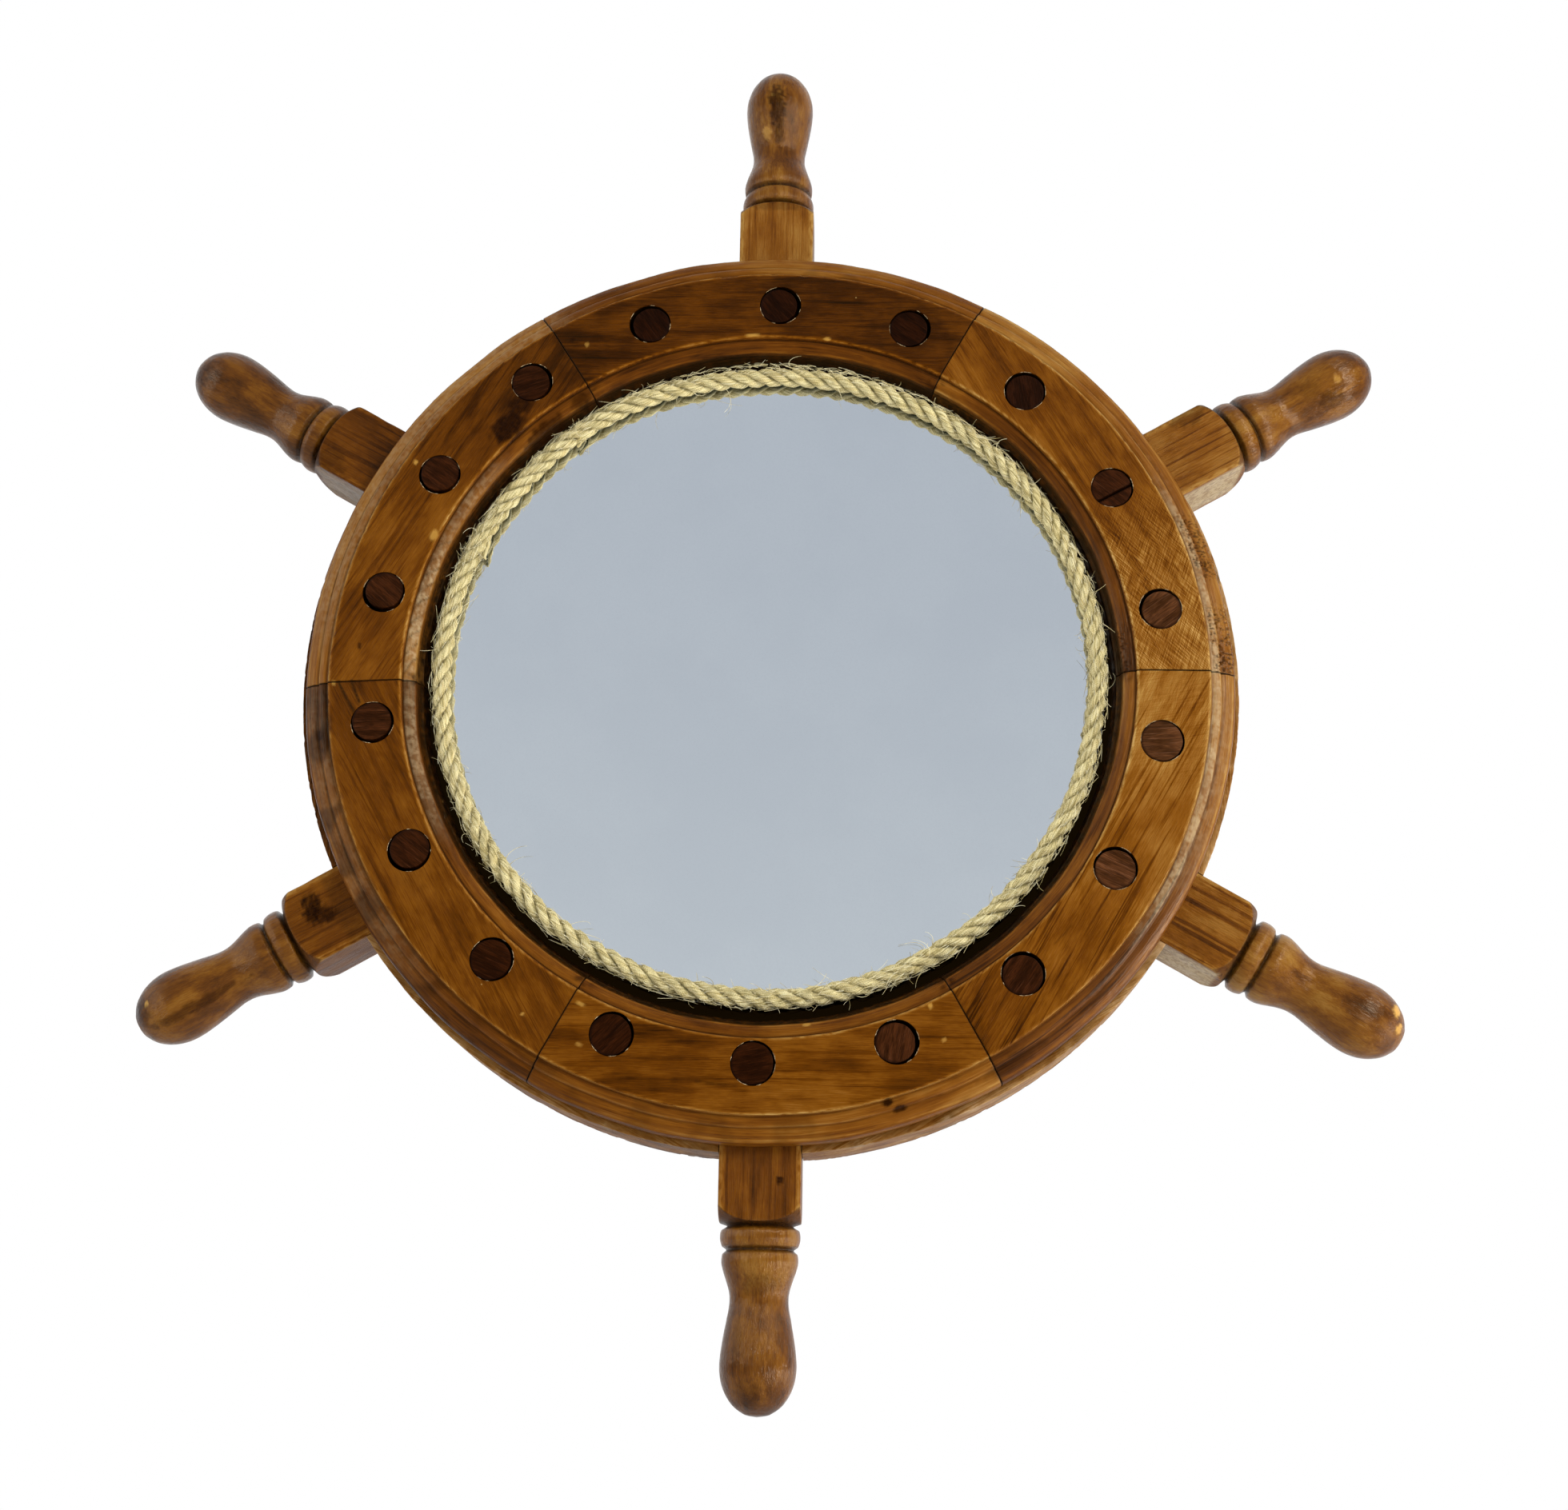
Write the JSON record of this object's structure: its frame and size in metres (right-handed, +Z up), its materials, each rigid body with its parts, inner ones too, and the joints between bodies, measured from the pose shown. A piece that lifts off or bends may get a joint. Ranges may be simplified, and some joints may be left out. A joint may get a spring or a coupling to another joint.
{
  "type": "ship steering wheel mirror",
  "caption": "Wall mirror built as a ship's steering wheel: moulded wooden rim on turned spokes, pegged, with a rope-edged round glass and a ring hanger.",
  "frame": {"origin": "the point at the top of the hanger ring's loop where the wall hook carries the wheel", "axes": "+Z up along the top spoke, +Y from the front face towards the wall, +X to the viewer's right"},
  "size_m": [0.5351, 0.0544, 0.6106],
  "materials": {
    "felloe_wood": "golden brown stain under satin varnish",
    "spoke_wood": "golden brown stain under satin varnish",
    "core_wood": "stained, rough sawn at the back edge",
    "peg_wood": "dark reddish brown, sanded flush and varnished",
    "mirror_silver": "polished float glass, silvered",
    "hardboard": "bare brown hardboard",
    "sisal_rope": "natural straw coloured fibre, hairy",
    "brad_steel": "bright steel",
    "hanger_brass": "brass plated, slightly dull"
  },
  "bodies": {
    "wheel": {"front_felloe_1": "felloe_wood", "front_felloe_2": "felloe_wood", "front_felloe_3": "felloe_wood", "front_felloe_4": "felloe_wood", "front_felloe_5": "felloe_wood", "front_felloe_6": "felloe_wood", "spoke_1": "spoke_wood", "spoke_2": "spoke_wood", "spoke_3": "spoke_wood", "spoke_4": "spoke_wood", "spoke_5": "spoke_wood", "spoke_6": "spoke_wood", "core_block_1": "core_wood", "core_block_2": "core_wood", "core_block_3": "core_wood", "core_block_4": "core_wood", "core_block_5": "core_wood", "core_block_6": "core_wood", "peg_01": "peg_wood", "peg_02": "peg_wood", "peg_03": "peg_wood", "peg_04": "peg_wood", "peg_05": "peg_wood", "peg_06": "peg_wood", "peg_07": "peg_wood", "peg_08": "peg_wood", "peg_09": "peg_wood", "peg_10": "peg_wood", "peg_11": "peg_wood", "peg_12": "peg_wood", "peg_13": "peg_wood", "peg_14": "peg_wood", "peg_15": "peg_wood", "peg_16": "peg_wood", "peg_17": "peg_wood", "peg_18": "peg_wood", "retaining_brad_1": "brad_steel", "retaining_brad_2": "brad_steel", "retaining_brad_3": "brad_steel", "retaining_brad_4": "brad_steel", "retaining_brad_5": "brad_steel", "retaining_brad_6": "brad_steel", "mirror_glass": "mirror_silver", "backing_board": "hardboard", "rope_trim": "sisal_rope", "hanger_strap": "hanger_brass", "hanger_screw_1": "hanger_brass", "hanger_screw_2": "hanger_brass"},
    "hanger_ring": {"hanger_ring": "hanger_brass"}
  },
  "joints": [
    {"name": "hanger_ring_swing", "type": "hinge", "parent": "wheel", "child": "hanger_ring", "pos_m": [0, 0, -0.01575], "axis": [-1, 0, 0], "range_deg": [-5, 170]}
  ]
}
